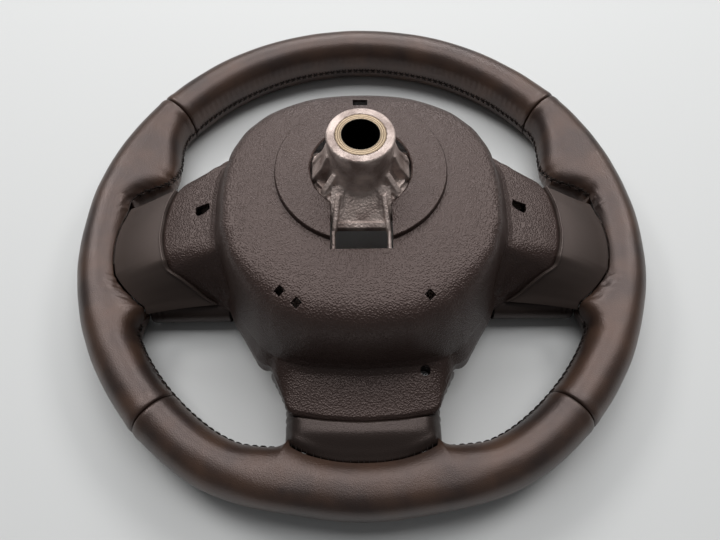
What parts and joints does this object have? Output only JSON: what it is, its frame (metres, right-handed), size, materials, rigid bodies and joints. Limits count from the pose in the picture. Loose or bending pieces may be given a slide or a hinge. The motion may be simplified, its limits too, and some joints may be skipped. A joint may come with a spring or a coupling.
{
  "type": "car steering wheel",
  "caption": "Leather-covered car steering wheel with a flattened foot, side and lower spokes, a splined steel hub and a domed rear cover; the airbag bay is empty.",
  "frame": {"origin": "on the hub bore's axis, at the bore's mouth on the column side", "axes": "+Z out of the bore's mouth, up the steering column; +Y towards twelve o'clock on the rim; +X to the right as seen from the column side"},
  "size_m": [0.37, 0.3631, 0.1209],
  "materials": {
    "cast_metal": "as cast, rough",
    "steel_insert": "turned, yellowish",
    "fastener_steel": "plated",
    "foam": "moulded foam, hidden",
    "leather": "satin, fine grain, worn",
    "cover_plastic": "coarse leather grain",
    "trim_plastic": "smooth satin",
    "bezel_plastic": "smooth satin",
    "switch_plastic": "smooth satin"
  },
  "bodies": {
    "wheel": {"armature": "cast_metal", "splined_insert": "steel_insert", "rim_foam": "foam", "spoke_pad_left": "foam", "spoke_pad_right": "foam", "spoke_pad_lower": "foam", "leather_top": "leather", "leather_left": "leather", "leather_right": "leather", "leather_bottom": "leather", "leather_lower_spoke": "leather", "leather_spoke_left": "leather", "leather_spoke_right": "leather", "rear_cover": "cover_plastic", "rear_trim_left": "trim_plastic", "rear_trim_right": "trim_plastic", "front_bezel_left": "bezel_plastic", "front_bezel_right": "bezel_plastic", "front_bezel_lower": "bezel_plastic", "switch_housing_left": "switch_plastic", "switch_housing_right": "switch_plastic", "bezel_screws": "fastener_steel", "cover_screw": "fastener_steel"},
    "pad_left_upper": {"pad_left_upper": "switch_plastic"},
    "pad_left_lower": {"pad_left_lower": "switch_plastic"},
    "pad_right_upper": {"pad_right_upper": "switch_plastic"},
    "pad_right_lower": {"pad_right_lower": "switch_plastic"},
    "airbag_catch_left": {"airbag_catch_left": "fastener_steel"},
    "airbag_catch_right": {"airbag_catch_right": "fastener_steel"}
  },
  "joints": [
    {"name": "press_left_upper", "type": "slide", "parent": "wheel", "child": "pad_left_upper", "axis": [0, 0, 1], "range_m": [0, 0.0012], "stiffness_N_per_m": 600, "springref_m": -0.0006},
    {"name": "press_left_lower", "type": "slide", "parent": "wheel", "child": "pad_left_lower", "axis": [0, 0, 1], "range_m": [0, 0.0012], "stiffness_N_per_m": 600, "springref_m": -0.0006},
    {"name": "press_right_upper", "type": "slide", "parent": "wheel", "child": "pad_right_upper", "axis": [0, 0, 1], "range_m": [0, 0.0012], "stiffness_N_per_m": 600, "springref_m": -0.0006},
    {"name": "press_right_lower", "type": "slide", "parent": "wheel", "child": "pad_right_lower", "axis": [0, 0, 1], "range_m": [0, 0.0012], "stiffness_N_per_m": 600, "springref_m": -0.0006},
    {"name": "catch_slide_left", "type": "slide", "parent": "wheel", "child": "airbag_catch_left", "axis": [1, 0, 0], "range_m": [0, 0.003], "stiffness_N_per_m": 900, "springref_m": -0.0012},
    {"name": "catch_slide_right", "type": "slide", "parent": "wheel", "child": "airbag_catch_right", "axis": [-1, 0, 0], "range_m": [0, 0.003], "stiffness_N_per_m": 900, "springref_m": -0.0012}
  ]
}
